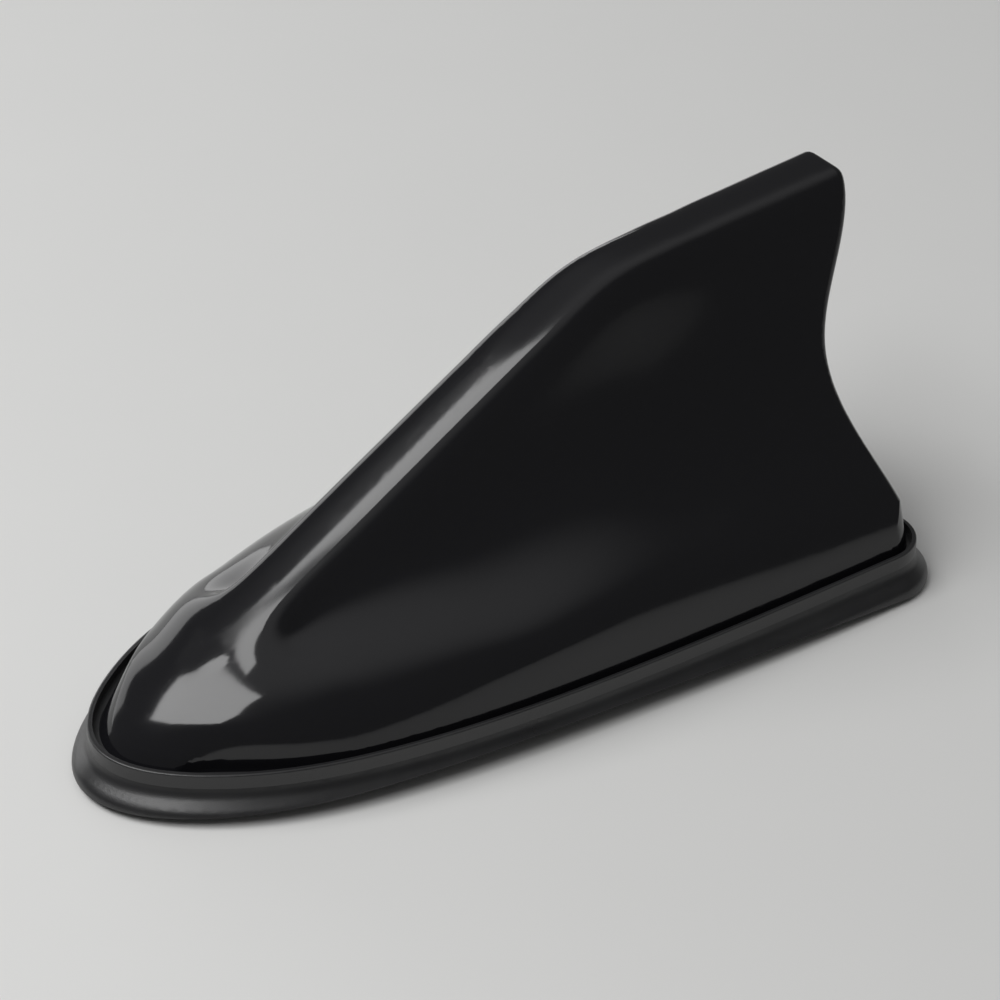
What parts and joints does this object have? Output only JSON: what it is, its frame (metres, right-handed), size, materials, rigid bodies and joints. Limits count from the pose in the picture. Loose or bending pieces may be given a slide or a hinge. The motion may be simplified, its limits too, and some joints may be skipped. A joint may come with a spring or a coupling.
{
  "type": "shark fin aerial",
  "caption": "Roof aerial in a hollow gloss fin cover on a rubber gasket and base plate, with a helical antenna, amplifier board, cable grommet and an adhesive pad underneath.",
  "frame": {"origin": "middle of the gasket in plan, on the roof side, at the level of the gasket's tail end", "axes": "+Z away from the roof, nose towards -X, tail towards +X, Y across"},
  "size_m": [0.16, 0.076, 0.0709],
  "materials": {
    "cover_plastic": "polished gloss black",
    "gasket_rubber": "satin black",
    "base_plastic": "matte black",
    "screw_steel": "zinc plated",
    "grommet_rubber": "matte black",
    "pad_foam": "foam tape",
    "board_laminate": "green solder mask",
    "former_plastic": "moulded white",
    "coil_copper": "bare copper alloy",
    "plate_tin": "tin plated",
    "chip_plastic": "moulded epoxy",
    "drum_ferrite": "sintered ferrite",
    "can_aluminium": "drawn can",
    "chip_ceramic": "ceramic"
  },
  "bodies": {
    "root": {"fin_cover": "cover_plastic", "rubber_gasket": "gasket_rubber", "base_plate": "base_plastic", "cover_screws": "screw_steel", "cable_grommet": "grommet_rubber", "adhesive_pad": "pad_foam", "circuit_board": "board_laminate", "board_screws": "screw_steel", "coil_former": "former_plastic", "former_screws": "screw_steel", "antenna_coil": "coil_copper", "top_load_plate": "plate_tin", "feed_clip": "coil_copper", "shield_can": "plate_tin", "amplifier_chip": "chip_plastic", "filter_inductors": "drum_ferrite", "electrolytic_capacitors": "can_aluminium", "chip_capacitors": "chip_ceramic", "chip_resistors": "chip_plastic", "transistors": "chip_plastic"}
  },
  "joints": []
}
